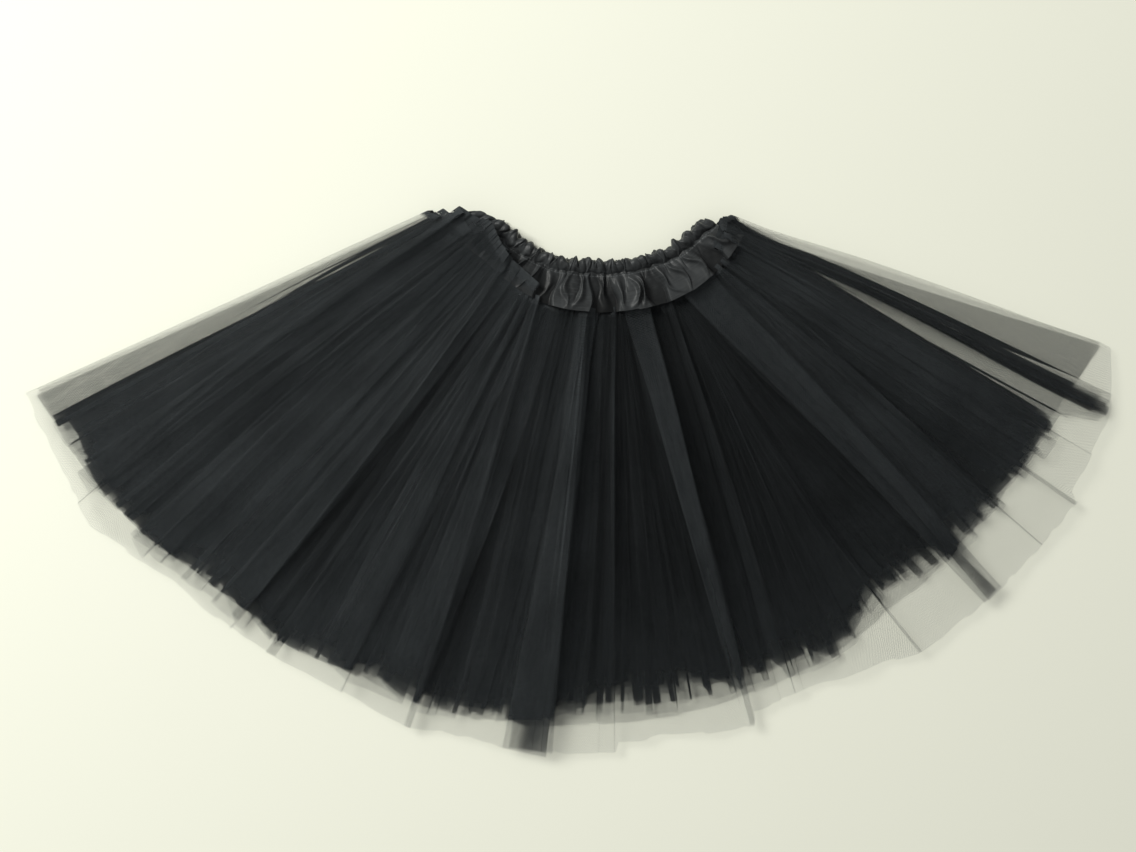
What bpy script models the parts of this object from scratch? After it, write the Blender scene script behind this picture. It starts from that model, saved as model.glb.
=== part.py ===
"""Child's ballet tutu, laid flat and fanned out with its front uppermost.

One satin strip, folded in half along its length, makes the gathered waistband, whose
upper part is the elastic's tunnel. Four rings of tulle hang from the band's lower
edge. Each inner ring is shorter than the one outside it. Every ring is a flattened
tube, so its front lies over its back, and the four tubes lie one inside another like
nested sleeves.

Metres. +Z is up and the floor is Z = 0. The waist is towards +Y and the hem towards
-Y. Angles are in degrees about the fan's centre, from -Y, and grow towards +X.
"""

import math
import random
from collections import namedtuple

import bmesh
import bpy
from mathutils import Vector

# Cloth ------------------------------------------------------------------------
WALL = 0.0010
GAP = 0.0003
PLY = WALL + GAP
PLEAT_HEIGHT = 2 * PLY
RIPPLE_HEIGHT = 0.0012

# Waistband --------------------------------------------------------------------
TUNNEL_WIDTH = 0.0120
TUNNEL_HALF_HEIGHT = 0.0019
GATHER_HEIGHT = 0.0014
BAND_LEFT, BAND_RIGHT = -71.0, 65.0
BAND_STATIONS = 24
SEAM_GAP = 0.0010

Row = namedtuple("Row", "angle size")
# Radius of the waist's edge about the fan's centre.
WAIST_RADIUS = (
    Row(-72.0, 0.086),
    Row(-66.0, 0.0725),
    Row(-58.0, 0.0640),
    Row(-44.0, 0.0610),
    Row(-18.0, 0.0590),
    Row(0.0, 0.0585),
    Row(14.0, 0.0606),
    Row(32.0, 0.0650),
    Row(46.0, 0.0703),
    Row(56.0, 0.0725),
    Row(66.0, 0.078),
)
# Radius of the seam between the satin band and the tulle.
SEAM_RADIUS = (
    Row(-72.0, 0.1015),
    Row(-61.0, 0.0937),
    Row(-50.0, 0.0880),
    Row(-38.0, 0.0870),
    Row(-26.0, 0.0885),
    Row(-15.0, 0.0898),
    Row(-2.0, 0.0905),
    Row(12.0, 0.0923),
    Row(26.0, 0.0962),
    Row(40.0, 0.1002),
    Row(53.0, 0.1022),
    Row(66.0, 0.1040),
)
# Radius of the outer tulle's hem.
HEM_RADIUS = (
    Row(-68.0, 0.373),
    Row(-52.0, 0.368),
    Row(-34.0, 0.360),
    Row(-22.0, 0.354),
    Row(-8.0, 0.361),
    Row(2.0, 0.361),
    Row(14.0, 0.354),
    Row(28.0, 0.354),
    Row(42.0, 0.361),
    Row(55.0, 0.363),
    Row(64.0, 0.352),
    Row(70.6, 0.341),
)

# Share of the skirt's length where the plies reach full height and pleats start.
PLEAT_START = 0.18
# The plies are pressed together beyond FLAT_FROM and fully lofted inside LOFTED_TO.
FLAT_FROM = 66.0
LOFTED_TO = 57.5
DROOP = 0.3
LEFT_SHORTFALL = 0.45

Layer = namedtuple("Layer", "name shorter left right height")
# Outside in. shorter is how far the hem stops above the outer hem, at the middle.
# left and right are the hem angles of the tube's two sides.
LAYERS = (
    Layer("tulle_outer", 0.0, -68.0, 70.6, PLEAT_HEIGHT),
    Layer("tulle_second", 0.018, -66.0, 67.0, PLEAT_HEIGHT),
    Layer("tulle_third", 0.029, -64.6, 64.0, RIPPLE_HEIGHT),
    Layer("tulle_inner", 0.034, -63.4, 61.6, RIPPLE_HEIGHT),
)
PLIES = 2 * len(LAYERS)

Side = namedtuple("Side", "hem_angle seam_angle")
# Lines that every layer shares, from the hem to the seam. The plies rise between the
# outer ones and lie level between the two innermost.
SIDES = (
    Side(-68.0, -70.0),
    Side(-66.0, -67.8),
    Side(-64.6, -65.6),
    Side(-63.4, -63.4),
    Side(-LOFTED_TO, -57.0),
    Side(LOFTED_TO, 53.0),
    Side(61.6, 57.2),
    Side(64.0, 59.4),
    Side(66.0, 61.0),
    Side(67.0, 62.0),
    Side(70.6, 64.4),
)

Fold = namedtuple("Fold", "seam_angle hem_angle facing underlap")
# facing is +1 where the folded edge looks towards +X and -1 where it looks to -X.
FRONT_PLEATS = (
    Fold(-52.5, -53.5, +1, 0.013),
    Fold(-40.0, -33.6, +1, 0.015),
    Fold(-18.0, -17.3, +1, 0.012),
    Fold(-12.0, -8.6, -1, 0.011),
    Fold(-1.0, -3.2, +1, 0.009),
    Fold(11.0, 12.0, -1, 0.008),
    Fold(24.0, 16.4, +1, 0.007),
    Fold(33.0, 33.0, +1, 0.008),
    Fold(37.0, 39.0, -1, 0.013),
    Fold(47.0, 45.2, +1, 0.010),
    Fold(50.5, 54.0, -1, 0.009),
)
BOX_HALF_ANGLE = 3.4
BOX_UNDERLAP = 0.009
BACK_BOXES = (-42.0, -15.0, 13.0, 40.0)
SECOND_FRONT_BOXES = (-45.0, -25.0, 4.0, 26.0)
SECOND_BACK_BOXES = (-28.0, 27.0)
PANEL_STEP = 9.0
RIPPLE_COUNT = 18
RIPPLE_SEED = 7

Rib = namedtuple("Rib", "seam_angle hem_angle ply lift closed opened")

COLOURS = {
    "satin": (0.016, 0.017, 0.020, 1.0),
    "tulle": (0.020, 0.022, 0.025, 1.0),
}
ROUGHNESS = {"satin": 0.32, "tulle": 0.7}


# Plan -------------------------------------------------------------------------
def table_value(rows, angle):
    """The table's size at an angle, on a smooth curve through its rows."""
    angle = min(max(angle, rows[0].angle), rows[-1].angle)
    for i in range(len(rows) - 1):
        if angle <= rows[i + 1].angle:
            break
    before, after = rows[max(i - 1, 0)], rows[min(i + 2, len(rows) - 1)]
    a, b = rows[i], rows[i + 1]
    step = b.angle - a.angle
    t = (angle - a.angle) / step
    slope_a = (b.size - before.size) / (b.angle - before.angle) * step
    slope_b = (after.size - a.size) / (after.angle - a.angle) * step
    return (
        a.size * (2 * t**3 - 3 * t**2 + 1)
        + slope_a * (t**3 - 2 * t**2 + t)
        + b.size * (3 * t**2 - 2 * t**3)
        + slope_b * (t**3 - t**2)
    )


def polar(angle, radius):
    turn = math.radians(angle)
    return Vector((radius * math.sin(turn), -radius * math.cos(turn), 0.0))


def seam_point(angle):
    """Where the tulle is sewn to the band."""
    return polar(angle, table_value(SEAM_RADIUS, angle) + SEAM_GAP)


def hem_point(angle):
    return polar(angle, table_value(HEM_RADIUS, angle))


def hem_share(layer, angle):
    """Share of the outer tulle's length at which this layer's hem lies."""
    fullness = min(1.0, LEFT_SHORTFALL + (1 - LEFT_SHORTFALL) * (angle + 68.0) / 50.0)
    length = (hem_point(angle) - seam_point(angle)).length
    return 1.0 - layer.shorter * fullness / length


# Heights ----------------------------------------------------------------------
def ply_height(ply):
    """Height of the folds that ply number `ply`, counted up from the floor, holds."""
    return LAYERS[min(ply, PLIES - 1 - ply)].height


def ply_level(ply, hem_angle, share):
    """Height of a ply's middle. A ply between two whole numbers lies between them."""
    below = int(ply)
    loft = sum(ply_height(i) for i in range(below))
    loft += (ply - below) * ply_height(below)
    spread = (FLAT_FROM - abs(hem_angle)) / (FLAT_FROM - LOFTED_TO)
    rise = min(1.0, share / PLEAT_START)
    return WALL / 2 + ply * PLY + loft * min(1.0, max(0.0, spread)) * rise


def rib_point(rib, share):
    """A point on a rib, which runs straight from the seam (0) to the hem (1)."""
    seam, hem = seam_point(rib.seam_angle), hem_point(rib.hem_angle)
    along = (hem - seam).normalized()
    sideways = Vector((-along.y, along.x, 0.0))
    opening = max(0.0, (share - PLEAT_START) / (1 - PLEAT_START))
    shift = rib.closed + (rib.opened - rib.closed) * opening
    point = seam.lerp(hem, share) + sideways * shift
    rise = min(1.0, share / PLEAT_START)
    point.z = ply_level(rib.ply, rib.hem_angle, share)
    point.z += rib.lift * ply_height(int(rib.ply)) * rise
    return point


# Ribs of a panel --------------------------------------------------------------
def pleat_ribs(fold, ply):
    """Six ribs where the cloth turns under itself, left to right along the cloth."""
    turn, step = PLY / 2, 0.0006
    under = fold.underlap
    # (lift, sideways place when open), from the upper ply down to the lower one
    path = [
        (1.0, 0.0),
        (0.75, turn),
        (0.5, 0.0),
        (0.5, -under),
        (0.25, -under - turn),
        (0.0, -under),
    ]
    if fold.facing < 0:
        path = [(lift, -place) for lift, place in reversed(path)]
    middle = (len(path) - 1) / 2
    return [
        Rib(fold.seam_angle, fold.hem_angle, ply, lift, (i - middle) * step, place)
        for i, (lift, place) in enumerate(path)
    ]


def box_folds(centres):
    """Two folds for each centre, whose cloth stands raised between them."""
    folds = []
    for centre in centres:
        left, right = centre - BOX_HALF_ANGLE, centre + BOX_HALF_ANGLE
        folds.append(Fold(left, left, -1, BOX_UNDERLAP))
        folds.append(Fold(right, right, +1, BOX_UNDERLAP))
    return folds


def seam_angle_of(hem_angle):
    """Where the straight line from a hem angle meets the seam."""
    for a, b in zip(SIDES, SIDES[1:]):
        if hem_angle <= b.hem_angle:
            break
    t = (hem_angle - a.hem_angle) / (b.hem_angle - a.hem_angle)
    return a.seam_angle + (b.seam_angle - a.seam_angle) * t


def plain_rib(hem_angle, ply, lift=0.0):
    return Rib(seam_angle_of(hem_angle), hem_angle, ply, lift, 0.0, 0.0)


def side_ribs(layer, ply):
    """The shared ribs at a panel's left side and those at its right side."""
    angles = [side.hem_angle for side in SIDES if layer.left <= side.hem_angle <= layer.right]
    ribs = [plain_rib(angle, ply) for angle in angles]
    return [r for r in ribs if r.hem_angle < 0], [r for r in ribs if r.hem_angle > 0]


def pleated_panel(layer, ply, folds):
    """Ribs from the left side to the right side, with pleats."""
    ribs, right = side_ribs(layer, ply)
    for fold in folds:
        turned = pleat_ribs(fold, ply)
        ribs += ribs_between(ribs[-1], turned[0]) + turned
    return ribs + ribs_between(ribs[-1], right[0]) + right


def ribs_between(a, b):
    """Evenly spaced ribs where two neighbours stand more than PANEL_STEP apart."""
    count = int((b.hem_angle - a.hem_angle) // PANEL_STEP)
    ribs = []
    for i in range(1, count + 1):
        t = i / (count + 1)
        seam_angle = a.seam_angle + (b.seam_angle - a.seam_angle) * t
        hem_angle = a.hem_angle + (b.hem_angle - a.hem_angle) * t
        lift = a.lift + (b.lift - a.lift) * t
        ribs.append(Rib(seam_angle, hem_angle, a.ply, lift, 0.0, 0.0))
    return ribs


def rippled_panel(layer, ply, seed):
    """Ribs from the left side to the right side, rising and falling unevenly."""
    chance = random.Random(seed)
    left, right = side_ribs(layer, ply)
    ribs = []
    for i in range(RIPPLE_COUNT):
        share = (i + 0.5 + 0.5 * chance.random()) / (RIPPLE_COUNT + 1)
        angle = LOFTED_TO * (2 * share - 1)
        ribs.append(plain_rib(angle, ply, (i % 2) * chance.uniform(0.6, 1.0)))
    return left + ribs + right


def side_turn(rib, ply, outwards):
    """The rib at a tube's side, where its front turns down into its back."""
    bulge = outwards * (PLIES - 1 - 2 * ply) * PLY * 0.4
    return rib._replace(ply=(PLIES - 1) / 2, lift=0.0, closed=bulge, opened=bulge)


# Meshes -----------------------------------------------------------------------
def closed_ring(name, sections, kind, wall=WALL):
    """A solid wall about a surface whose sections are rings of equal length."""
    made = bmesh.new()
    rings = [[made.verts.new(point) for point in section] for section in sections]
    count = len(rings[0])
    for upper, lower in zip(rings, rings[1:]):
        for i in range(count):
            j = (i + 1) % count
            made.faces.new((upper[i], upper[j], lower[j], lower[i]))
    bmesh.ops.recalc_face_normals(made, faces=made.faces)
    mesh = bpy.data.meshes.new(name)
    made.to_mesh(mesh)
    made.free()
    thing = bpy.data.objects.new(name, mesh)
    bpy.context.scene.collection.objects.link(thing)
    solidify = thing.modifiers.new("Wall", "SOLIDIFY")
    solidify.thickness = wall
    solidify.offset = 0.0
    solidify.use_even_offset = True
    mesh.materials.append(material(kind))
    return thing


def material(kind):
    found = bpy.data.materials.get(kind)
    if found:
        return found
    made = bpy.data.materials.new(kind)
    made.use_nodes = True
    shader = made.node_tree.nodes["Principled BSDF"]
    shader.inputs["Base Color"].default_value = COLOURS[kind]
    shader.inputs["Roughness"].default_value = ROUGHNESS[kind]
    shader.inputs["Metallic"].default_value = 0.0
    return made


def tulle_tube(number):
    """One ring of tulle as a flattened tube, number 0 being the outermost."""
    layer = LAYERS[number]
    back, front = number, PLIES - 1 - number
    if layer.name == "tulle_outer":
        over = pleated_panel(layer, front, FRONT_PLEATS)
        under = pleated_panel(layer, back, box_folds(BACK_BOXES))
    elif layer.name == "tulle_second":
        over = pleated_panel(layer, front, box_folds(SECOND_FRONT_BOXES))
        under = pleated_panel(layer, back, box_folds(SECOND_BACK_BOXES))
    else:
        over = rippled_panel(layer, front, RIPPLE_SEED + front)
        under = rippled_panel(layer, back, RIPPLE_SEED + back)
    loop = over + [side_turn(over[-1], back, +1)]
    loop += under[::-1] + [side_turn(over[0], back, -1)]

    inner = LAYERS[min(number + 1, len(LAYERS) - 1)]
    sections = []
    for share in (0.0, PLEAT_START, 0.45, 0.85):
        sections.append([rib_point(rib, share) for rib in loop])
    if inner is not layer:
        shares = [hem_share(inner, rib.hem_angle) + 0.004 for rib in loop]
        sections.append([rib_point(rib, s) for rib, s in zip(loop, shares)])
    hem = []
    for rib in loop:
        point = rib_point(rib, hem_share(layer, rib.hem_angle))
        if inner is not layer and rib.ply == front:
            point.z -= DROOP * (point - sections[-1][len(hem)]).length
        hem.append(point)
    sections.append(hem)
    return closed_ring(layer.name, sections, "tulle")


# Waistband --------------------------------------------------------------------
BandStation = namedtuple("BandStation", "angle sideways height normal gather")


def band_stations():
    """Stations all round the flattened band: front, right turn, back, left turn."""
    front = (ply_level(PLIES - 1, 0, 0) + ply_level(PLIES / 2, 0, 0)) / 2
    back = (ply_level(0, 0, 0) + ply_level(PLIES / 2 - 1, 0, 0)) / 2
    middle, turn_radius = (front + back) / 2, (front - back) / 2
    stations = []
    for side, height in ((+1, front), (-1, back)):
        for i in range(BAND_STATIONS + 1):
            share = i / BAND_STATIONS if side > 0 else 1 - i / BAND_STATIONS
            angle = BAND_LEFT + (BAND_RIGHT - BAND_LEFT) * share
            gather = GATHER_HEIGHT if 0 < share < 1 and i % 2 else 0.0
            normal = Vector((0.0, 0.0, side))
            stations.append(BandStation(angle, 0.0, height, normal, gather))
        edge = BAND_RIGHT if side > 0 else BAND_LEFT
        for turn in (45.0, 90.0, 135.0):
            turned = math.radians(turn) if side > 0 else math.radians(180.0 - turn)
            across, up = math.sin(turned), math.cos(turned)
            outwards = side * across * turn_radius
            normal = Vector((side * across, 0.0, up))
            height = middle + up * turn_radius
            stations.append(BandStation(edge, outwards, height, normal, 0.0))
    return stations


def band_point(station, drop, offset):
    """A point `drop` below the waist's edge and `offset` out from the band's middle."""
    radius = table_value(WAIST_RADIUS, station.angle) + drop
    turn = math.radians(station.angle)
    sideways = Vector((math.cos(turn), math.sin(turn), 0.0))
    point = polar(station.angle, radius) + sideways * station.sideways
    point += sideways * station.normal.x * offset
    ease = 0.35 + 0.65 * min(1.0, drop / TUNNEL_WIDTH / 2)
    point.z = station.height + station.normal.z * offset + station.gather * ease
    return point


LeafRow = namedtuple("LeafRow", "drop half_gap")


def leaf_rows(depth):
    """The folded strip from the waist's edge to the seam, as half of its section."""
    half = (ply_level(PLIES - 1, 0, 0) - ply_level(PLIES / 2, 0, 0)) / 2
    return (
        LeafRow(0.0, 0.0),
        LeafRow(TUNNEL_WIDTH * 0.1, TUNNEL_HALF_HEIGHT * 0.85),
        LeafRow(TUNNEL_WIDTH * 0.75, TUNNEL_HALF_HEIGHT),
        LeafRow(TUNNEL_WIDTH * 1.08, PLY / 2),
        LeafRow(depth, half),
    )


def waistband():
    """The satin strip, folded in half along its length, as one flattened ring."""
    stations = band_stations()
    sections = []
    order = [(4, +1), (3, +1), (2, +1), (1, +1), (0, 0), (1, -1), (2, -1), (3, -1), (4, -1)]
    for row, leaf in order:
        section = []
        for station in stations:
            angle = station.angle
            depth = table_value(SEAM_RADIUS, angle) - table_value(WAIST_RADIUS, angle)
            part = leaf_rows(depth)[row]
            section.append(band_point(station, part.drop, leaf * part.half_gap))
        sections.append(section)
    return closed_ring("waistband", sections, "satin")


def centre_on_floor(things):
    """Moves all the pieces together, so that the whole stands centred on the origin."""
    bpy.context.view_layer.update()
    graph = bpy.context.evaluated_depsgraph_get()
    corners = [
        Vector(corner) for thing in things for corner in thing.evaluated_get(graph).bound_box
    ]
    low = Vector(map(min, zip(*corners)))
    high = Vector(map(max, zip(*corners)))
    for thing in things:
        thing.location = (-(low.x + high.x) / 2, -(low.y + high.y) / 2, -low.z)


def main():
    for thing in list(bpy.data.objects):
        bpy.data.objects.remove(thing, do_unlink=True)
    things = [waistband()]
    things += [tulle_tube(number) for number in range(len(LAYERS))]
    centre_on_floor(things)


main()
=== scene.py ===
"""Ballet tutu laid flat: rings of black tulle under a ruched satin waistband.

Metres, +Z up. The waist is towards +Y and the hems towards -Y. Angles are in degrees
about the fan's centre, from -Y, and grow towards +X. Share 0 is the seam under the
waistband and share 1 is the hem.
"""

import math
from collections import namedtuple

import bpy
import numpy as np
from bpy.props import FloatProperty, FloatVectorProperty, IntProperty, PointerProperty
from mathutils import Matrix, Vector


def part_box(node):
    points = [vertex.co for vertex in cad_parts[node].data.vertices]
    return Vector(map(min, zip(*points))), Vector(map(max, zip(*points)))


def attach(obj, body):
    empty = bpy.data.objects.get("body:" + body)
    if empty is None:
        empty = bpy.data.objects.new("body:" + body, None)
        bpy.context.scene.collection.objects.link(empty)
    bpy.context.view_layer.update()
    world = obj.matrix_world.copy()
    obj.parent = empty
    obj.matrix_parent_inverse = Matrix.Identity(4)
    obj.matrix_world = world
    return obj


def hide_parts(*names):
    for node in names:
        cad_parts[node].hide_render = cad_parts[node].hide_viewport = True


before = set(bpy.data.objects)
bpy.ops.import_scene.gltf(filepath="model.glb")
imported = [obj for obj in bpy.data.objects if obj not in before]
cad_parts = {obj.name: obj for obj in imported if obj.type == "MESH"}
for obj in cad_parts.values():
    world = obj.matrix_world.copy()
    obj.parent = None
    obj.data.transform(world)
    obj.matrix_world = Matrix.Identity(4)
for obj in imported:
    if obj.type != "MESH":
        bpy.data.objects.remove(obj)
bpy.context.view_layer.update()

bl_info = {
    "name": "Ballet tutu laid flat",
    "version": (1, 0, 0),
    "blender": (4, 5, 0),
    "location": "3D View > Sidebar > Tutu",
    "description": "Sews the tulle rings and the satin waistband of a tutu laid flat",
    "category": "Add Mesh",
}

# The fan's centre, from the outer tulle's lowest corner.
OUTER_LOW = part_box("tulle_outer")[0]
CENTRE_X = OUTER_LOW.x + 0.3476
CENTRE_Y = OUTER_LOW.y + 0.3614

Size = namedtuple("Size", "angle size")
# Radius of the waist's edge.
WAIST_RADIUS = (
    Size(-72.0, 0.086),
    Size(-66.0, 0.0725),
    Size(-58.0, 0.0640),
    Size(-44.0, 0.0610),
    Size(-18.0, 0.0590),
    Size(0.0, 0.0585),
    Size(14.0, 0.0606),
    Size(32.0, 0.0650),
    Size(46.0, 0.0703),
    Size(56.0, 0.0725),
    Size(66.0, 0.078),
)
# Radius of the seam between the satin and the tulle.
SEAM_RADIUS = (
    Size(-74.0, 0.1030),
    Size(-61.0, 0.0937),
    Size(-50.0, 0.0880),
    Size(-38.0, 0.0870),
    Size(-26.0, 0.0885),
    Size(-15.0, 0.0898),
    Size(-2.0, 0.0905),
    Size(12.0, 0.0923),
    Size(26.0, 0.0962),
    Size(40.0, 0.1002),
    Size(53.0, 0.1022),
    Size(66.0, 0.1040),
)
# How far the outer tulle rides up over the satin, at the two ends of the band.
RIDES_UP = (
    Size(-74.0, 0.000),
    Size(-70.0, 0.008),
    Size(-65.5, 0.018),
    Size(-61.0, 0.0230),
    Size(-56.0, 0.0215),
    Size(-52.0, 0.0180),
    Size(-47.0, 0.0150),
    Size(-41.0, 0.0120),
    Size(-36.5, 0.003),
    Size(61.0, 0.003),
    Size(64.0, 0.016),
    Size(67.0, 0.018),
    Size(70.5, 0.011),
)
BAND_LEFT, BAND_RIGHT = -71.0, 65.0

# Radii of the hems.
OUTER_HEM = (
    Size(-68.0, 0.374),
    Size(-61.0, 0.372),
    Size(-54.0, 0.377),
    Size(-48.0, 0.365),
    Size(-44.0, 0.360),
    Size(-34.0, 0.358),
    Size(-26.0, 0.356),
    Size(-17.9, 0.362),
    Size(-12.0, 0.358),
    Size(-8.3, 0.361),
    Size(2.5, 0.361),
    Size(2.8, 0.355),
    Size(7.4, 0.353),
    Size(16.4, 0.358),
    Size(16.8, 0.350),
    Size(23.0, 0.348),
    Size(30.6, 0.355),
    Size(35.0, 0.363),
    Size(44.3, 0.361),
    Size(55.5, 0.363),
    Size(55.8, 0.357),
    Size(65.0, 0.353),
    Size(71.0, 0.340),
)
OUTER_BACK_HEM = (
    Size(-68.0, 0.373),
    Size(-56.0, 0.368),
    Size(-45.0, 0.355),
    Size(-30.0, 0.349),
    Size(-18.0, 0.355),
    Size(-5.0, 0.352),
    Size(4.0, 0.350),
    Size(16.0, 0.347),
    Size(28.0, 0.342),
    Size(36.0, 0.336),
    Size(50.0, 0.333),
    Size(61.0, 0.330),
    Size(71.0, 0.340),
)
SECOND_HEM = (
    Size(-66.0, 0.365),
    Size(-61.0, 0.362),
    Size(-52.0, 0.357),
    Size(-48.0, 0.361),
    Size(-42.0, 0.354),
    Size(-34.0, 0.352),
    Size(-22.0, 0.341),
    Size(-18.0, 0.347),
    Size(-11.0, 0.347),
    Size(-8.0, 0.340),
    Size(2.0, 0.338),
    Size(17.0, 0.335),
    Size(29.0, 0.333),
    Size(34.0, 0.322),
    Size(41.0, 0.325),
    Size(50.0, 0.327),
    Size(62.9, 0.331),
    Size(63.9, 0.354),
    Size(66.5, 0.352),
)
BODY_HEM = (
    Size(-65.0, 0.360),
    Size(-61.0, 0.364),
    Size(-56.0, 0.362),
    Size(-50.0, 0.358),
    Size(-42.0, 0.342),
    Size(-38.0, 0.345),
    Size(-34.0, 0.352),
    Size(-28.0, 0.350),
    Size(-23.0, 0.345),
    Size(-19.0, 0.345),
    Size(-16.0, 0.349),
    Size(-11.0, 0.347),
    Size(-9.0, 0.343),
    Size(-4.0, 0.338),
    Size(0.0, 0.328),
    Size(5.0, 0.319),
    Size(9.0, 0.320),
    Size(15.0, 0.328),
    Size(24.0, 0.331),
    Size(29.0, 0.330),
    Size(31.0, 0.322),
    Size(34.5, 0.314),
    Size(45.0, 0.322),
    Size(57.0, 0.325),
    Size(60.0, 0.324),
    Size(62.3, 0.318),
)

Fold = namedtuple("Fold", "seam hem facing tuck_seam tuck_hem left right bow")
# facing is +1 where the folded edge looks towards +X and -1 where it looks to -X. left and
# right are the cloth's rise on either side of the fold, and bow is its curve sideways.
FRONT_FOLDS = (
    Fold(-66.5, -56.5, +1, 0.008, 0.002, 0.0060, 0.0045, -0.006),
    Fold(-38.5, -37.5, +1, 0.010, 0.002, 0.0060, 0.0010, 0.004),
    Fold(-27.0, -33.7, -1, 0.006, 0.009, 0.0010, 0.0040, 0.0),
    Fold(-23.5, -25.0, +1, 0.006, 0.003, 0.0065, 0.0025, 0.0),
    Fold(-19.3, -17.6, +1, 0.010, 0.006, 0.0070, 0.0, 0.003),
    Fold(0.2, -8.5, -1, 0.004, 0.030, 0.0050, 0.0075, 0.0),
    Fold(0.8, -3.2, +1, 0.010, 0.030, 0.0085, 0.0, 0.0),
    Fold(9.2, 0.9, +1, 0.002, 0.001, 0.0004, 0.0004, 0.0),
    Fold(11.0, 2.5, +1, 0.006, 0.002, 0.0045, 0.0005, 0.0),
    Fold(12.2, 15.6, -1, 0.006, 0.001, 0.0005, 0.0070, 0.0),
    Fold(24.0, 16.7, +1, 0.009, 0.005, 0.0085, 0.0, 0.0),
    Fold(29.0, 19.8, +1, 0.002, 0.001, 0.0004, 0.0004, 0.0),
    Fold(32.0, 21.5, +1, 0.004, 0.002, 0.0035, 0.0005, 0.0),
    Fold(33.0, 34.5, +1, 0.004, 0.003, 0.0015, 0.0010, -0.006),
    Fold(34.6, 41.8, -1, 0.006, 0.014, 0.0010, 0.0070, 0.0),
    Fold(49.0, 44.4, +1, 0.007, 0.014, 0.0085, 0.0045, 0.0),
    Fold(51.0, 50.0, +1, 0.004, 0.002, 0.0055, 0.0005, 0.0),
    Fold(55.5, 55.6, +1, 0.006, 0.005, 0.0055, 0.0052, 0.0),
    Fold(62.5, 60.3, +1, 0.004, 0.002, 0.0068, 0.0060, 0.0),
)
SECOND_STRIP = (
    Fold(67.2, 64.1, -1, 0.004, 0.011, 0.0, 0.0006, 0.0),
    Fold(68.4, 65.4, +1, 0.004, 0.011, 0.0008, 0.0002, 0.0),
)
# The outer ring's back is tucked under itself once along each side.
BACK_TUCKS = (
    Fold(-70.5, -63.6, +1, 0.006, 0.0262, 0.0, 0.0, 0.0),
    Fold(64.0, 66.3, -1, 0.004, 0.027, 0.0, 0.0, 0.0),
)

Ring = namedtuple(
    "Ring",
    "name slot left right seam_left seam_right hem back_hem tuck pitch full jag seed length",
)
RINGS = (
    Ring(
        "tulle_ring_outer", "tulle_outer", -68.0, 71.0, -74.5, 70.2, OUTER_HEM, OUTER_BACK_HEM,
        1.0, 0.0085, 1.03, 0.0006, 11, 0.285,
    ),
    Ring(
        "tulle_ring_second", "tulle_second", -64.8, 66.5, -71.4, 70.0, SECOND_HEM, SECOND_HEM,
        0.8, 0.012, 1.65, 0.0028, 23, 0.270,
    ),
    Ring(
        "tulle_ring_third", "tulle_third", -64.3, 61.6, -71.2, 69.8, BODY_HEM, BODY_HEM,
        0.6, 0.025, 2.1, 0.0060, 37, 0.262,
    ),
    Ring(
        "tulle_ring_inner", "tulle_inner", -63.9, 61.2, -71.0, 69.6, BODY_HEM, BODY_HEM,
        0.5, 0.019, 2.3, 0.0040, 53, 0.250,
    ),
)
ROWS = 46
INNER_SHORTER = 0.011
BACK_SHORTER = 0.006
BACK_PITCH = 1.5

# Radii near the seam and the hem, which turn a fold's angle into a width of cloth.
SEAM_ARM, HEM_ARM = 0.09, 0.345
# The most cloth that a gather hides at the seam: this, and a share of the room it has.
HIDES_ALWAYS, HIDES_OF_ROOM = 0.005, 0.8
# Below this rise the cloth is in a valley, and its gathers all face the shade.
VALLEY = 0.001
# Rise of a panel from which its neighbours no longer shade it.
OPEN_RISE = 0.0055
# How far the tulle laps over the satin where it doesn't ride up.
LAPS = 0.003
# Heights of the plies, back of the outer ring first and front of the outer ring last.
PLIES_AT_SEAM = (0.0012, 0.0018, 0.0024, 0.0030, 0.0056, 0.0066, 0.0076, 0.0086)
PLIES_LOFTED = (0.0006, 0.0022, 0.0036, 0.0050, 0.0072, 0.0092, 0.0114, 0.0138)
PLIES_AT_HEM = (0.0004, 0.0010, 0.0016, 0.0022, 0.0032, 0.0038, 0.0046, 0.0054)
# How much of the big folds' rise each ring's front follows, outer ring first.
FOLLOWS = (1.0, 0.5, 0.4, 0.35)
SIDE_REACH = 9.0

Turn = namedtuple("Turn", "seam hem slip_seam slip_hem level rise_seam rise_hem reach drop bow")


# Node graphs -------------------------------------------------------------------
class Number:
    """A number in a node graph, with Python's operators."""

    def __init__(self, graph, socket):
        self.graph, self.socket = graph, socket

    def __add__(self, other):
        return self.graph.maths("ADD", self, other)

    def __sub__(self, other):
        return self.graph.maths("SUBTRACT", self, other)

    def __rsub__(self, other):
        return self.graph.maths("SUBTRACT", other, self)

    def __mul__(self, other):
        return self.graph.maths("MULTIPLY", self, other)

    def __truediv__(self, other):
        return self.graph.maths("DIVIDE", self, other)

    def __mod__(self, other):
        return self.graph.maths("FLOORED_MODULO", self, other)

    def __lt__(self, other):
        return self.graph.maths("LESS_THAN", self, other)

    def __gt__(self, other):
        return self.graph.maths("GREATER_THAN", self, other)

    def __abs__(self):
        return self.graph.maths("ABSOLUTE", self)

    __radd__ = __add__
    __rmul__ = __mul__


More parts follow.
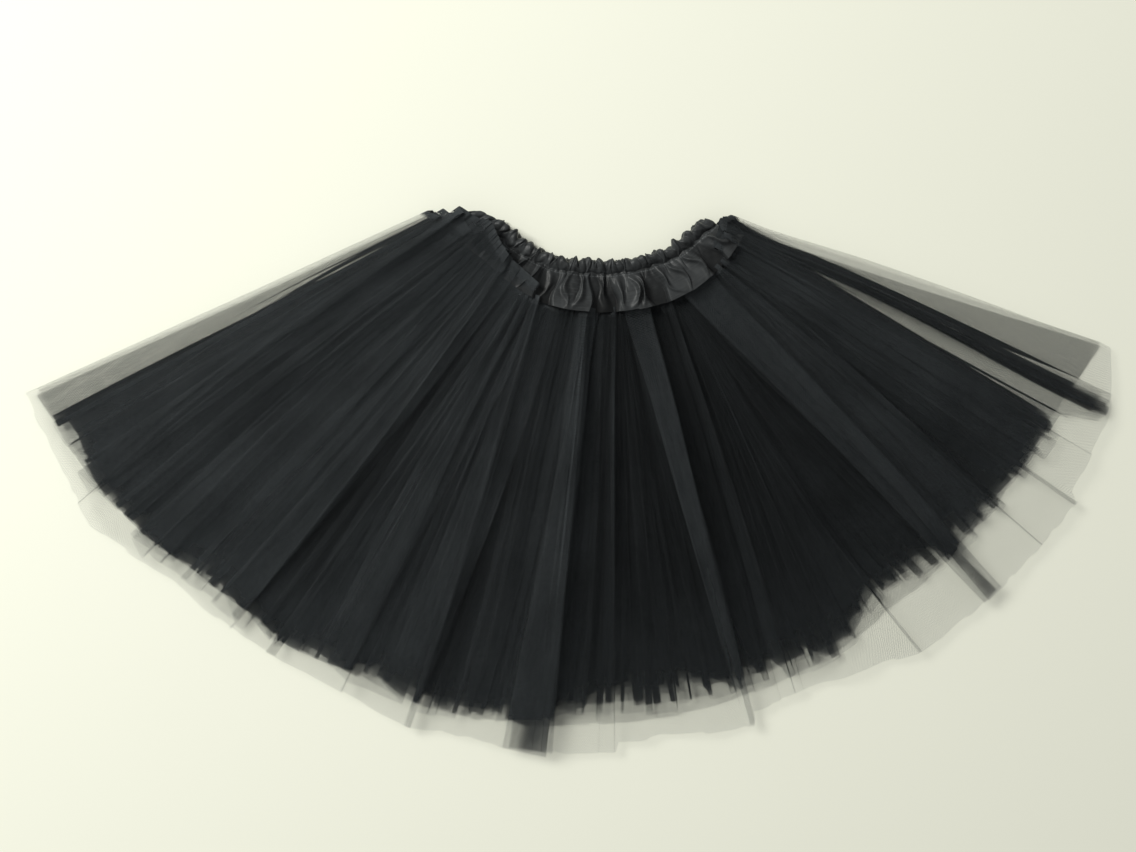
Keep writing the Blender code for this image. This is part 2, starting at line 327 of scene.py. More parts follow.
class Graph:
    """A new material's nodes."""

    def __init__(self, name):
        self.material = bpy.data.materials.new(name)
        self.material.use_nodes = True
        self.nodes = self.material.node_tree.nodes
        self.links = self.material.node_tree.links
        self.shader = self.nodes["Principled BSDF"]

    def fill(self, socket, value):
        if isinstance(value, Number):
            self.links.new(value.socket, socket)
        elif isinstance(value, bpy.types.NodeSocket):
            self.links.new(value, socket)
        else:
            socket.default_value = value

    def node(self, kind, settings=None, values=None):
        """A node of this type: its settings are made first, then its sockets filled."""
        made = self.nodes.new(kind)
        for name, value in (settings or {}).items():
            if name == "stops":
                self.set_stops(made.color_ramp, value)
            else:
                setattr(made, name, value)
        for key, value in (values or {}).items():
            self.fill(made.inputs[key], value)
        return made

    def set_stops(self, ramp, stops):
        while len(ramp.elements) < len(stops):
            ramp.elements.new(1.0)
        for element, (position, grey) in zip(ramp.elements, stops):
            element.position = position
            element.color = (grey, grey, grey, 1.0)

    def maths(self, operation, *terms):
        made = self.node("ShaderNodeMath", {"operation": operation}, dict(enumerate(terms)))
        return Number(self, made.outputs[0])

    def largest(self, a, b):
        return self.maths("MAXIMUM", a, b)

    def ramp(self, amount, stops):
        made = self.node("ShaderNodeValToRGB", {"stops": stops}, {0: amount})
        return Number(self, made.outputs[0])

    def noise(self, where, scale, detail=2.0):
        values = {"Vector": where, "Scale": scale, "Detail": detail}
        return Number(self, self.node("ShaderNodeTexNoise", {}, values).outputs[0])

    def stretched(self, where, amounts):
        settings = {"operation": "MULTIPLY"}
        return self.node("ShaderNodeVectorMath", settings, {0: where, 1: amounts}).outputs[0]

    def mix(self, amount, a, b):
        made = self.node("ShaderNodeMix", {"data_type": "RGBA"}, {0: amount, 6: a, 7: b})
        return made.outputs[2]

    def cloth(self):
        """The cloth's own coordinates in metres: the vector, and its two numbers."""
        where = self.node("ShaderNodeUVMap", {"uv_map": "Cloth"}).outputs[0]
        parts = self.node("ShaderNodeSeparateXYZ", {}, {0: where})
        return where, Number(self, parts.outputs[0]), Number(self, parts.outputs[1])

    def valley_shade(self):
        """How much painted shade darkens the cloth in the valleys among the folds round it, from 0 to 1.
        """
        settings = {"attribute_name": "Crowding"}
        return Number(self, self.node("ShaderNodeAttribute", settings).outputs["Fac"])

    def finish(self, values):
        for name, value in values.items():
            self.fill(self.shader.inputs[name], value)
        return self.material


def tint(colour, amount):
    return tuple(min(1.0, c * amount) for c in colour[:3]) + (1.0,)


# Materials ----------------------------------------------------------------------
def net_thread(graph, u, v, pitch, thread):
    """How far into a thread of the hexagonal net a point lies: over 0 is on a thread."""
    row = math.sqrt(3.0)
    x, y = u / pitch, v / pitch
    ax, ay = abs(x % 1.0 - 0.5), abs(y % row - row / 2)
    bx, by = abs((x + 0.5) % 1.0 - 0.5), abs((y + row / 2) % row - row / 2)
    a = graph.largest(ax, ax * 0.5 + ay * (row / 2))
    b = graph.largest(bx, bx * 0.5 + by * (row / 2))
    from_middle = graph.maths("MINIMUM", a, b)
    return from_middle - (0.5 - thread / pitch / 2)


def tulle_material(name, settings):
    graph = Graph(name)
    where, u, v = graph.cloth()
    on_thread = net_thread(graph, u, v, settings.net_pitch, settings.thread)
    # Gathered tight at the seam, the net closes up, and painted shade darkens the tulle there.
    closed_and_shaded = graph.largest((0.006 - v) / 0.012, 0.0)
    alpha = on_thread + closed_and_shaded > 0.0
    patch = graph.noise(where, 22.0)
    fleck = graph.noise(where, 900.0, 3.0)
    sparkle = graph.ramp(fleck, ((0.0, 0.0), (0.66, 0.0), (0.78, 1.0)))
    dark = tint(settings.colour, 0.75)
    light = tint(settings.colour, 1.3)
    colour = graph.mix(graph.ramp(patch, ((0.3, 0.0), (0.7, 1.0))), dark, light)
    mottle = graph.ramp(graph.noise(where, 420.0, 4.0), ((0.35, 0.0), (0.65, 1.0)))
    colour = graph.mix(mottle * 0.5, colour, tint(settings.colour, 0.35))
    # Painted sparkle: light specks stand in for threads that glint.
    colour = graph.mix(sparkle * 0.4, colour, tint(settings.colour, 3.5))
    # Painted shade: the cloth in the valleys between the big folds is darkened.
    colour = graph.mix(graph.valley_shade() * 0.75, colour, tint(settings.colour, 0.12))
    # Painted shade: the tightly gathered tulle by the seam is darkened.
    colour = graph.mix(graph.ramp(closed_and_shaded, ((0.0, 0.0), (0.2, 0.45))), colour, tint(settings.colour, 0.25))
    height = graph.ramp(on_thread, ((0.0, 0.0), (0.12, 1.0)))
    bump = graph.node("ShaderNodeBump", {}, {"Strength": 0.35, "Distance": 0.0002, "Height": height})
    return graph.finish(
        {
            "Base Color": colour,
            "Roughness": patch * 0.2 + (settings.roughness - 0.1),
            "Specular IOR Level": 0.06,
            "Sheen Weight": 0.03,
            "Sheen Roughness": 0.5,
            "Alpha": alpha,
            "Normal": bump.outputs[0],
        }
    )


def satin_material(name, settings):
    graph = Graph(name)
    where, u, v = graph.cloth()
    floats = graph.noise(graph.stretched(where, (0.35, 2.2, 1.0)), 3000.0, 2.0)
    slub = graph.noise(graph.stretched(where, (0.3, 2.5, 1.0)), 420.0, 2.0)
    patch = graph.noise(where, 60.0)
    dark, light = tint(settings.colour, 0.8), tint(settings.colour, 1.5)
    colour = graph.mix(graph.ramp(patch, ((0.35, 0.0), (0.65, 1.0))), dark, light)
    colour = graph.mix(graph.ramp(slub, ((0.5, 0.0), (0.75, 0.5))), colour, tint(settings.colour, 2.2))
    # Painted shade: the satin in the valleys between its panels is darkened.
    colour = graph.mix(graph.valley_shade() * 0.93, colour, tint(settings.colour, 0.15))
    in_line = abs(abs(v) - settings.tunnel_width) < 0.0003
    stitch = in_line * ((u / settings.stitch % 1.0) < 0.7)
    colour = graph.mix(stitch * 0.6, colour, tint(settings.colour, 3.0))
    height = floats * 0.6 + slub * 0.4 - in_line * 1.5 + stitch * 2.5
    bump = graph.node("ShaderNodeBump", {}, {"Strength": 0.25, "Distance": 0.00015, "Height": height})
    return graph.finish(
        {
            "Base Color": colour,
            "Roughness": floats * 0.16 + (settings.roughness - 0.08),
            "Specular IOR Level": 0.13,
            "Sheen Weight": 0.04,
            "Sheen Roughness": 0.35,
            "Normal": bump.outputs[0],
        }
    )


def floor_material(name, settings):
    graph = Graph(name)
    where = graph.node("ShaderNodeTexCoord").outputs["Object"]
    patch = graph.noise(where, 3.0, 3.0)
    colour = graph.mix(patch, tint(settings.floor_colour, 0.985), tint(settings.floor_colour, 1.01))
    return graph.finish({"Base Color": colour, "Roughness": 0.85, "Specular IOR Level": 0.1})


# Shapes -------------------------------------------------------------------------
def on_curve(rows, angle):
    """Sizes at these angles, on a smooth curve through the table's rows."""
    angles = np.array([row.angle for row in rows])
    sizes = np.array([row.size for row in rows])
    slopes = np.gradient(sizes, angles)
    at = np.clip(angle, angles[0], angles[-1])
    i = np.clip(np.searchsorted(angles, at) - 1, 0, len(rows) - 2)
    step = angles[i + 1] - angles[i]
    t = (at - angles[i]) / step
    return (
        sizes[i] * (2 * t**3 - 3 * t**2 + 1)
        + slopes[i] * step * (t**3 - 2 * t**2 + t)
        + sizes[i + 1] * (3 * t**2 - 2 * t**3)
        + slopes[i + 1] * step * (t**3 - t**2)
    )


def on_lines(rows, angle):
    return np.interp(angle, [row.angle for row in rows], [row.size for row in rows])


def plan(angle, radius):
    turn = np.radians(angle)
    return np.stack([CENTRE_X + radius * np.sin(turn), CENTRE_Y - radius * np.cos(turn)], -1)


def smooth_step(value, start, end):
    t = np.clip((value - start) / (end - start), 0.0, 1.0)
    return t * t * (3 - 2 * t)


def waves(chance, u, v, widths, lengths, height, count=6):
    """Soft uneven waves over the cloth, whose crests run mostly from waist to hem."""
    total = np.zeros(np.broadcast(u, v).shape)
    for _ in range(count):
        width, length = chance.uniform(*widths), chance.uniform(*lengths)
        phase, slant = chance.uniform(0, 2 * np.pi), chance.choice([-1, 1])
        total += np.sin(2 * np.pi * (u / width + slant * v / length) + phase)
    return height * total / math.sqrt(count)


def cloth_object(name, points, cloth, valley_shade, material):
    """A grid of points as a cloth mesh, whose last column is joined to its first."""
    rows, columns = points.shape[:2]
    index = np.arange(rows * columns).reshape(rows, columns)
    index = np.concatenate([index, index[:, :1]], 1)
    faces = np.stack([index[:-1, :-1], index[:-1, 1:], index[1:, 1:], index[1:, :-1]], -1)
    faces = faces.reshape(-1, 4)[:, ::-1]
    mesh = bpy.data.meshes.new(name)
    mesh.from_pydata(points.reshape(-1, 3).tolist(), [], faces.tolist())
    corners = np.stack([cloth[:-1, :-1], cloth[:-1, 1:], cloth[1:, 1:], cloth[1:, :-1]], -2)
    corners = corners.reshape(-1, 4, 2)[:, ::-1]
    layer = mesh.uv_layers.new(name="Cloth")
    layer.data.foreach_set("uv", corners.astype(np.float32).ravel())
    # Painted shade for the valleys, which the materials mix into the colour.
    layer = mesh.attributes.new("Crowding", "FLOAT", "POINT")
    layer.data.foreach_set("value", np.clip(valley_shade, 0, 1).astype(np.float32).ravel())
    mesh.shade_smooth()
    mesh.materials.append(material)
    piece = bpy.data.objects.new(name, mesh)
    bpy.context.scene.collection.objects.link(piece)
    return piece


# Tulle --------------------------------------------------------------------------
def fold_turns(fold, tuck, drop, next_drop):
    """The two lines where the cloth turns: the folded edge and the tuck's inner end."""
    slips = -fold.facing * fold.tuck_seam * tuck, -fold.facing * fold.tuck_hem * tuck
    edge = Turn(fold.seam, fold.hem, 0.0, 0.0, 0.0, 0.0008, 0.0004, 1.0, 0.0, fold.bow)
    inner = edge._replace(slip_seam=slips[0], slip_hem=slips[1], rise_seam=0.0, rise_hem=0.0)
    first, second = (edge, inner) if fold.facing > 0 else (inner, edge)
    first = first._replace(level=fold.left, drop=drop)
    return [first, second._replace(level=fold.right, drop=next_drop)]


def width_between(a, b):
    """The cloth's width from one turn to another, at the seam and at the hem."""
    at_seam = SEAM_ARM * math.radians(b.seam - a.seam) + b.slip_seam - a.slip_seam
    at_hem = HEM_ARM * math.radians(b.hem - a.hem) + b.slip_hem - a.slip_hem
    return at_seam, at_hem


def gathers_between(ring, a, b, pitch, chance):
    """Small folds between two turns. They hide at the seam the width that the hem has."""
    at_seam, at_hem = width_between(a, b)
    count = int(at_hem / pitch)
    if count < 1:
        return []
    hidden_seam = max(0.0, (ring.full * at_hem - at_seam) / (2 * count))
    hidden_seam = min(hidden_seam, HIDES_ALWAYS + HIDES_OF_ROOM * max(0.0, at_seam))
    hidden_hem = (ring.full - 1) * at_hem / (2 * count)
    turns, facing, drop = [], chance.choice([-1, 1]), a.drop
    for i in range(count):
        share = (i + 0.5 + chance.uniform(-0.35, 0.35)) / count
        facing = -facing if chance.random() < 0.3 else facing
        seam = a.seam + (b.seam - a.seam) * share
        if a.level + (b.level - a.level) * share < VALLEY:
            facing = -1
        if min(seam - ring.seam_left, ring.seam_right - seam) < np.degrees(hidden_seam / 0.06):
            facing = -1 if seam < 0 else 1
        size = chance.uniform(0.5, 1.5)
        lasting = ring.full > 1.1 or chance.random() < 0.12
        slips = -facing * hidden_seam * size, -facing * hidden_hem * size * lasting
        between = [x + (y - x) * share for x, y in zip(a, b)]
        rise, reach = chance.uniform(0.0002, 0.0006), chance.uniform(0.9, 1.15)
        edge = Turn(*between)._replace(slip_seam=0.0, slip_hem=0.0, rise_seam=rise, reach=reach)
        edge = edge._replace(rise_hem=rise * 0.5 * lasting)
        inner = edge._replace(slip_seam=slips[0], slip_hem=slips[1], rise_seam=0.0, rise_hem=0.0)
        first, second = (edge, inner) if facing > 0 else (inner, edge)
        turns.append(first._replace(drop=drop))
        drop = chance.normal(0.0, ring.jag)
        turns.append(second._replace(drop=drop))
    return turns


def panel_turns(ring, folds, tuck, pitch, chance):
    """Every turn of one side of a ring, from its left edge to its right edge."""
    left = Turn(ring.seam_left, ring.left, 0.0, 0.0, 0.005, 0.0, 0.0, 1.0, 0.0, 0.0)
    right = left._replace(seam=ring.seam_right, hem=ring.right)
    turns = [left]
    for fold in folds:
        if ring.left + 1.5 < fold.hem < ring.right - 0.5:
            drops = chance.normal(0.0, ring.jag, 2)
            both = fold_turns(fold, tuck, turns[-1].drop if ring.jag < 0.001 else drops[0], drops[1])
            turns += gathers_between(ring, turns[-1], both[0], pitch, chance) + both
    return turns + gathers_between(ring, turns[-1], right, pitch, chance) + [right]


def spread_columns(turns, column):
    """Turns with even columns of cloth put between them, as an array of rows."""
    made = []
    for a, b in zip(turns, turns[1:]):
        widths = [abs(width) for width in width_between(a, b)]
        count = max(2, math.ceil(max(widths) / column))
        for i in range(count):
            made.append(np.array(a) + (np.array(b) - np.array(a)) * i / count)
    made.append(np.array(turns[-1]))
    return np.array(made)


def rounded(values):
    """Softens the turns, so that a folded edge is a small round and not a crease."""
    inside = (values[:-2] + 2 * values[1:-1] + values[2:]) / 4
    return np.concatenate([values[:1], inside, values[-1:]])


def ring_height(number, front, share, level):
    """Height of a ring's front or back over the floor, away from its sides."""
    ply = len(PLIES_AT_SEAM) - 1 - number if front else number
    loft, droop = smooth_step(share, 0.0, 0.3), smooth_step(share, 0.6, 1.0)
    height = PLIES_AT_SEAM[ply] + (PLIES_LOFTED[ply] - PLIES_AT_SEAM[ply]) * loft
    height = height + (PLIES_AT_HEM[ply] - height) * droop
    return height + level * FOLLOWS[number] * (0.45 + 0.55 * loft) * (1 - 0.6 * droop)


def tulle_side(number, front, settings, chance, start):
    """One side of a ring: its points, and the cloth's own coordinates from `start`."""
    ring = RINGS[number]
    share = np.linspace(0.0, 1.0, ROWS)[:, None]
    folds, tuck, pitch = FRONT_FOLDS, ring.tuck, ring.pitch
    if number == 1 and front:
        folds = FRONT_FOLDS + SECOND_STRIP
    if not front:
        folds, tuck, pitch = BACK_TUCKS if number == 0 else (), 1.0, ring.pitch * BACK_PITCH
    values = rounded(spread_columns(panel_turns(ring, folds, tuck, pitch, chance), settings.column))
    values = values if front else values[::-1]
    seam, hem, slip_seam, slip_hem, level, rise_seam, rise_hem, reach, drop, bow = values.T
    radius = on_lines(ring.hem if front else ring.back_hem, hem + np.degrees(slip_hem / HEM_ARM))
    shorter = (INNER_SHORTER if number == 3 else 0.0) + (0.0 if front else BACK_SHORTER)
    up = on_lines(RIDES_UP, seam) * (1 - 0.08 * number)
    up = up if front else np.where(seam > 62, up, LAPS)
    top = plan(seam, on_curve(SEAM_RADIUS, seam) - up)
    foot = plan(hem, radius + drop - shorter)
    along = foot - top
    along /= np.linalg.norm(along, axis=1, keepdims=True)
    sideways = np.stack([-along[:, 1], along[:, 0]], -1)
    fading = np.maximum(0.0, 1.0 - share / reach)
    from_end = np.minimum(seam - ring.seam_left, ring.seam_right - seam)
    slip_seam = slip_seam * np.clip(from_end / 4.0, 0.0, 1.0)
    slip = slip_hem + (slip_seam - slip_hem) * fading
    u = np.abs(np.diff(np.radians(hem))) * HEM_ARM + np.abs(np.diff(slip_hem))
    u = np.concatenate([[0.0], np.cumsum(u)]) + start
    v = share * ring.length
    free = smooth_step(share, 0.02, 0.4)
    sway = waves(chance, hem / 25.0, share, (0.5, 2.0), (0.8, 2.5), 0.0010 + 0.0008 * (number > 0))
    slip = slip + bow * np.sin(np.pi * share) + sway * free
    place = top + (foot - top) * share[..., None] + sideways * slip[..., None]
    edge = np.minimum(hem - ring.left, ring.right - hem)
    sides = np.sqrt(np.clip(edge / SIDE_REACH, 0.0, 1.0))
    billow = waves(chance, u, v, (0.035, 0.09), (0.25, 0.9), 0.0010)
    crease = waves(chance, u, v, (0.009, 0.02), (0.15, 0.6), 0.00012)
    rise = rise_hem + (rise_seam - rise_hem) * fading
    height = ring_height(number, front, share, level if front else 0 * level)
    height = height + (billow + crease) * free * (1.0 if front else 0.4) + rise
    low = 0.0006 + 0.0004 * (len(PLIES_AT_SEAM) - 1 - number if front else number)
    height = low + (height - low) * (0.12 + 0.88 * sides)
    over = np.clip(up - LAPS, 0.0, 0.009) * 0.75 if front else 0 * up
    height = height + over * np.exp(-((share / 0.07) ** 2))
    points = np.concatenate([place, np.maximum(height, 0.0003)[..., None]], -1)
    # Painted shade: full in the valleys, gone on panels that rise to OPEN_RISE, and weaker towards the
    # hem.
    valley_shade = (1 - level / OPEN_RISE) * (1 - 0.6 * smooth_step(share, 0.6, 1.0))
    return points, np.stack([u + 0 * v, v + 0 * u], -1), valley_shade


def tulle_ring(number, settings, material):
    ring = RINGS[number]
    chance = np.random.default_rng(ring.seed)
    front, front_cloth, front_shade = tulle_side(number, True, settings, chance, 0.0)
    start = front_cloth[0, -1, 0] + settings.column
    back, back_cloth, back_shade = tulle_side(number, False, settings, chance, start)
    width = back_cloth[0, -1, 0] + settings.column
    seam = front_cloth[:, :1] + [width, 0.0]
    cloth = np.concatenate([front_cloth, back_cloth, seam], 1)
    points = np.concatenate([front, back], 1)
    piece = cloth_object(ring.name, points, cloth, np.concatenate([front_shade, back_shade], 1), material)
    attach(piece, "root")
    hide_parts(ring.slot)


# Waistband ----------------------------------------------------------------------
# Rise of the satin's panels at the seam, with the valleys between them, where painted shade darkens the
# satin.
PANELS = (
    Size(-71.0, 0.0010),
    Size(-40.0, 0.0030),
    Size(-37.0, 0.0005),
    Size(-35.5, 0.0020),
    Size(-24.0, 0.0028),
    Size(-22.5, 0.0),
    Size(-15.4, 0.0),
    Size(-14.4, 0.0038),
    Size(0.4, 0.0045),
    Size(1.2, 0.0),
    Size(10.5, 0.0),
    Size(12.0, 0.0045),
    Size(23.6, 0.0050),
    Size(24.6, 0.0005),
    Size(30.0, 0.0005),
    Size(31.5, 0.0040),
    Size(48.4, 0.0045),
    Size(49.6, 0.0005),
    Size(54.5, 0.0005),
    Size(56.0, 0.0040),
    Size(65.0, 0.0030),
)
Puff = namedtuple("Puff", "tunnel seam bow width height peak")
# Soft folds of the satin below its tunnel: angles at the tunnel, at the seam and of the bow.
PUFFS = (
    Puff(-56.0, -50.0, 2.0, 0.0018, 0.0022, 0.3),
    Puff(-48.0, -43.0, 2.5, 0.0014, 0.0026, 0.4),
    Puff(-33.0, -34.0, -2.0, 0.0015, 0.0022, 0.35),
    Puff(-27.0, -31.0, 2.0, 0.0013, 0.0026, 0.4),
    Puff(-19.0, -21.0, 1.0, 0.0014, 0.0010, 0.4),
    Puff(-8.5, -7.0, -3.0, 0.0012, 0.0022, 0.3),
    Puff(-3.5, -6.5, 2.5, 0.0012, 0.0030, 0.35),
    Puff(4.5, 6.5, 1.5, 0.0014, 0.0018, 0.5),
    Puff(14.5, 15.5, -2.0, 0.0012, 0.0024, 0.5),
    Puff(19.0, 16.0, 3.5, 0.0012, 0.0034, 0.55),
    Puff(22.0, 21.5, 2.0, 0.0010, 0.0022, 0.45),
    Puff(33.0, 36.5, -2.0, 0.0012, 0.0026, 0.5),
    Puff(37.0, 38.5, 2.5, 0.0012, 0.0026, 0.4),
    Puff(44.0, 45.5, 3.0, 0.0013, 0.0030, 0.45),
    Puff(56.5, 58.5, 2.0, 0.0014, 0.0026, 0.4),
    Puff(61.0, 63.0, -2.5, 0.0014, 0.0030, 0.5),
)
LEAF_FRONT, LEAF_BACK = 0.0075, 0.0027
TUNNEL_HEIGHT = 0.0024
SEAM_HEIGHT = 0.0031
TOP_ROWS, YOKE_ROWS, INNER_ROWS = 22, 30, 14


def ruches(chance, angle, radius, spacing):
    """Rounded ridges with pinched valleys between them, one height for each angle."""
    arc = np.concatenate([[0.0], np.cumsum(np.abs(np.diff(np.radians(angle))) * radius[1:])])
    edges = np.cumsum(chance.uniform(0.5, 1.6, int(arc[-1] / spacing * 1.3) + 8) * spacing)
    edges = np.concatenate([[0.0], edges])
    phase = np.interp(arc, edges, np.arange(len(edges)))
    size = np.interp(phase, np.arange(len(edges)) + 0.5, chance.uniform(0.35, 1.2, len(edges)))
    return np.abs(np.sin(np.pi * phase)) ** 0.8 * size, phase


def waistband(settings, material):
    chance = np.random.default_rng(71)
    yoke, top = np.linspace(0, 1, YOKE_ROWS)[:, None], np.linspace(0, 1, TOP_ROWS)[1:, None]
    inner = np.linspace(0, 1, INNER_ROWS)[1:, None]
    halves, drops, valley_shades = [], [], []
    for side in (1, -1):
        angle = np.linspace(BAND_LEFT, BAND_RIGHT, settings.stations)[::side]
        waist = on_curve(WAIST_RADIUS, angle)
        tunnel = settings.tunnel_width - 0.0015 + waves(chance, angle, 0.0, (4.0, 15.0), (1, 2), 0.0008)
        depth = on_curve(SEAM_RADIUS, angle) - waist
        # From the seam up the outer leaf, over the waist's edge and down the inner leaf.
        drop = [tunnel + (depth - tunnel) * (1 - yoke), tunnel * (1 - top) + 0 * depth]
        drop = np.concatenate(drop + [depth * inner])
        leaf = np.concatenate([1 + 0 * yoke, 1 + 0 * top[1:], [[0]], 0 * inner - 1])
        below = np.clip((drop - tunnel) / (depth - tunnel), 0, 1)
        in_yoke = drop >= tunnel
        hump = np.sin(np.pi * np.clip(drop / tunnel, 0, 1) ** 0.75) ** 0.6 * (drop < tunnel)
        offset = TUNNEL_HEIGHT * hump + 0.0006 + (SEAM_HEIGHT - 0.0006) * below**0.8
        pinch = np.exp(-(((drop - tunnel) / 0.0012) ** 2))
        ridge, phase = ruches(chance, angle, waist, settings.ruche_pitch)
        broad, _ = ruches(chance, angle, waist, settings.ruche_pitch * 2.3)
        relief = ridge * (0.0014 * hump + 0.0010 * np.exp(-below * 4) * in_yoke) * (1 - 0.4 * pinch)
        relief = relief + broad * 0.0013 * np.exp(-below * 1.5) * (0.5 + 0.5 * in_yoke)
        crumple = waves(chance, angle, drop, (2.0, 6.0), (0.004, 0.012), 0.00022, 10)
        relief = relief + crumple * (1 - 0.85 * below**0.3)
        if side > 0:
            relief = relief + on_lines(PANELS, angle) * below**0.5
            for puff in PUFFS:
                line = puff.tunnel + (puff.seam - puff.tunnel) * below
                line = line + puff.bow * np.sin(np.pi * below)
                away = np.radians(angle - line) * (waist + drop)
                along = np.sin(np.pi * below ** (math.log(0.5) / math.log(puff.peak)))
                relief = relief + puff.height * along * np.exp(-((away / puff.width) ** 2)) * in_yoke
        strength = np.where(leaf > 0, 1.0, 0.45) * (1.0 if side > 0 else 0.5)
        scallop = (ridge - 0.45) * 0.0008 + (broad - 0.45) * 0.0026
        scallop = scallop + waves(chance, angle, 0.0, (4.0, 14.0), (1.0, 2.0), 0.0007)
        rise = scallop * np.exp(-((drop / 0.005) ** 2))
        wobble = 0.0009 * np.sin(phase * 2.1 + drop / 0.004) * (1 - pinch)
        place = plan(angle + np.degrees(wobble / waist), waist + drop - rise)
        middle, squeeze = (LEAF_FRONT, 1.0) if side > 0 else (LEAF_BACK, 0.75)
        ends = np.sqrt(np.clip(np.minimum(angle - BAND_LEFT, BAND_RIGHT - angle) / 5.0, 0, 1))
        height = middle + side * (leaf * offset * squeeze + np.sign(leaf) * relief * strength)
        centre = (LEAF_FRONT + LEAF_BACK) / 2
        height = np.maximum(centre + (height - centre) * (0.3 + 0.7 * ends), 0.0003)
        halves.append(np.concatenate([place, height[..., None]], -1))
        drops.append(drop * -leaf)
        # Painted shade: full in the valleys between the panels, and growing from the tunnel towards the
        # seam.
        valley_shades.append((1 - on_lines(PANELS, angle) / 0.004) * below**0.4)
    points, v = np.concatenate(halves, 1), np.concatenate(drops + [drops[0][:, :1]], 1)
    u = np.linspace(0, settings.strip_length, v.shape[1]) + 0 * v
    valley_shade = np.concatenate(valley_shades, 1)
    piece = cloth_object("satin_waistband", points, np.stack([u, v], -1), valley_shade, material)
    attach(piece, "root")
    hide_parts("waistband")


# Settings -----------------------------------------------------------------------
class TulleSettings(bpy.types.PropertyGroup):
    net_pitch: FloatProperty(
        name="Net pitch", description="Distance between holes of the net", default=0.00105,
        unit="LENGTH",
    )
    thread: FloatProperty(
        name="Thread", description="Thickness of the net's thread", default=0.00009,
        unit="LENGTH",
    )
    colour: FloatVectorProperty(
        name="Colour", description="Colour of the nylon thread", subtype="COLOR",
        default=(0.053, 0.060, 0.064), min=0.0, max=1.0,
    )
    roughness: FloatProperty(
        name="Roughness", description="Roughness of the thread", default=0.62, subtype="FACTOR",
    )
    column: FloatProperty(
        name="Column", description="Width of one column of the cloth's mesh", default=0.0030,
        unit="LENGTH",
    )


class SatinSettings(bpy.types.PropertyGroup):
    tunnel_width: FloatProperty(
        name="Tunnel width", description="Width of the tunnel for the elastic", default=0.010,
        unit="LENGTH",
    )
    ruche_pitch: FloatProperty(
        name="Ruche pitch", description="Distance between the tunnel's small gathers",
        default=0.0031, unit="LENGTH",
    )
    stitch: FloatProperty(
        name="Stitch", description="Length of a stitch along the tunnel, before it is gathered",
        default=0.0025, unit="LENGTH",
    )
    strip_length: FloatProperty(
        name="Strip length", description="Length of the satin strip before it is gathered",
        default=0.54, unit="LENGTH",
    )
    stations: IntProperty(
        name="Stations", description="Columns of the mesh across one side of the band",
        default=560, min=100,
    )
    colour: FloatVectorProperty(
        name="Colour", description="Colour of the satin", subtype="COLOR",
        default=(0.025, 0.027, 0.028), min=0.0, max=1.0,
    )
    roughness: FloatProperty(
        name="Roughness", description="Roughness of the satin", default=0.40, subtype="FACTOR",
    )


class StageSettings(bpy.types.PropertyGroup):
    floor_colour: FloatVectorProperty(
        name="Floor", description="Colour of the pale floor", subtype="COLOR",
        default=(0.845, 0.855, 0.745), min=0.0, max=1.0,
    )
    camera_height: FloatProperty(
        name="Camera height", description="Height of the camera over the floor", default=0.75,
        unit="LENGTH",
    )
    view_width: FloatProperty(
        name="View width", description="Width of the floor that the camera sees", default=0.7027,
        unit="LENGTH",
    )
    key_power: FloatProperty(
        name="Key light", description="Power of the soft light from the upper left", default=67.0,
        unit="POWER",
    )
    sky_strength: FloatProperty(
        name="Sky", description="Strength of the even light from all round", default=0.36, min=0.0,
    )


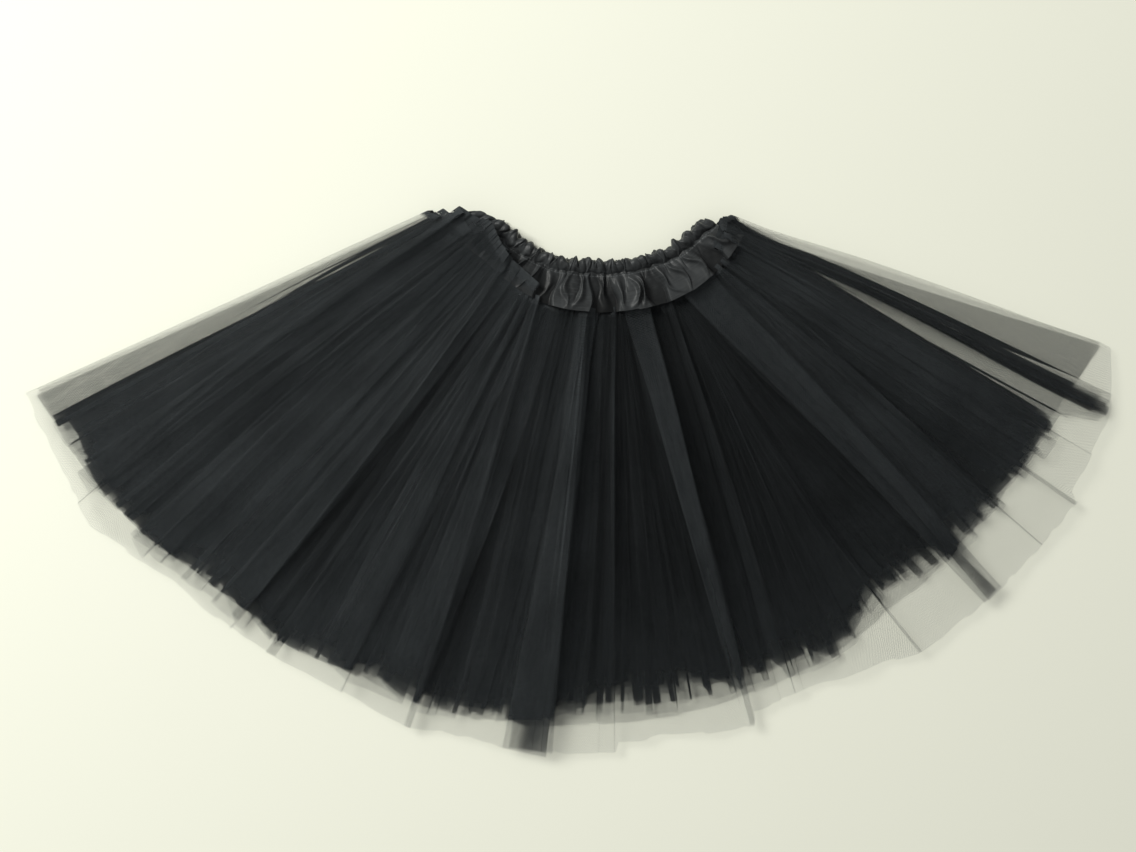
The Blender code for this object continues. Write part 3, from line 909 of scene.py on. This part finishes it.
# Operators ----------------------------------------------------------------------
class TUTU_OT_stage(bpy.types.Operator):
    """Lays the pale floor and sets the soft light and the camera above it"""

    bl_idname = "tutu.stage"
    bl_label = "Stage"

    def execute(self, context):
        settings = context.scene.tutu_stage
        mesh = bpy.data.meshes.new("floor")
        reach = 2.5
        corners = [(-reach, -reach, 0), (reach, -reach, 0), (reach, reach, 0), (-reach, reach, 0)]
        mesh.from_pydata(corners, [], [(0, 1, 2, 3)])
        mesh.materials.append(floor_material("pale_floor", settings))
        floor = bpy.data.objects.new("floor", mesh)
        context.scene.collection.objects.link(floor)

        lamp = bpy.data.lights.new("window", "AREA")
        lamp.shape, lamp.size, lamp.size_y = "RECTANGLE", 1.1, 0.8
        lamp.energy = settings.key_power
        lamp.color = (1.0, 0.995, 0.95)
        window = bpy.data.objects.new("window", lamp)
        window.location = (-1.55, 1.16, 1.47)
        window.rotation_euler = (Vector((0, 0, 0)) - window.location).to_track_quat("-Z", "Y").to_euler()
        context.scene.collection.objects.link(window)

        world = bpy.data.worlds.new("room")
        world.use_nodes = True
        sky = world.node_tree.nodes["Background"]
        sky.inputs["Color"].default_value = (1.0, 1.0, 0.985, 1.0)
        sky.inputs["Strength"].default_value = settings.sky_strength
        context.scene.world = world

        lens = bpy.data.cameras.new("camera")
        lens.sensor_width = 36.0
        lens.lens = lens.sensor_width * settings.camera_height / settings.view_width
        camera = bpy.data.objects.new("camera", lens)
        camera.location = (-0.0006, 0.0322, settings.camera_height)
        context.scene.collection.objects.link(camera)
        context.scene.camera = camera
        context.scene.view_settings.view_transform = "Standard"
        return {"FINISHED"}


class TUTU_OT_waistband(bpy.types.Operator):
    """Sews the ruched satin waistband"""

    bl_idname = "tutu.waistband"
    bl_label = "Satin waistband"

    def execute(self, context):
        settings = context.scene.tutu_satin
        waistband(settings, satin_material("black_satin", settings))
        return {"FINISHED"}


class TUTU_OT_tulle(bpy.types.Operator):
    """Cuts, gathers and lays the rings of tulle"""

    bl_idname = "tutu.tulle"
    bl_label = "Tulle rings"

    def execute(self, context):
        settings = context.scene.tutu_tulle
        for number, ring in enumerate(RINGS):
            tulle_ring(number, settings, tulle_material(ring.name, settings))
        return {"FINISHED"}


class TUTU_PT_panel(bpy.types.Panel):
    """Lists the tutu's pieces and its stage"""

    bl_idname = "TUTU_PT_panel"
    bl_label = "Tutu"
    bl_space_type = "VIEW_3D"
    bl_region_type = "UI"
    bl_category = "Tutu"

    def draw(self, context):
        for operator in OPERATORS:
            self.layout.operator(operator.bl_idname)
        for name in SETTINGS:
            group = getattr(context.scene, name)
            box = self.layout.box()
            for key in group.__annotations__:
                box.prop(group, key)


SETTINGS = {
    "tutu_tulle": TulleSettings,
    "tutu_satin": SatinSettings,
    "tutu_stage": StageSettings,
}
OPERATORS = (TUTU_OT_tulle, TUTU_OT_waistband, TUTU_OT_stage)


def register():
    for name, group in SETTINGS.items():
        bpy.utils.register_class(group)
        setattr(bpy.types.Scene, name, PointerProperty(type=group))
    for made in (*OPERATORS, TUTU_PT_panel):
        bpy.utils.register_class(made)


def unregister():
    for made in (TUTU_PT_panel, *OPERATORS):
        bpy.utils.unregister_class(made)
    for name, group in SETTINGS.items():
        delattr(bpy.types.Scene, name)
        bpy.utils.unregister_class(group)


def main():
    register()
    bpy.ops.tutu.tulle()
    bpy.ops.tutu.waistband()
    bpy.ops.tutu.stage()


if __name__ == "__main__":
    main()
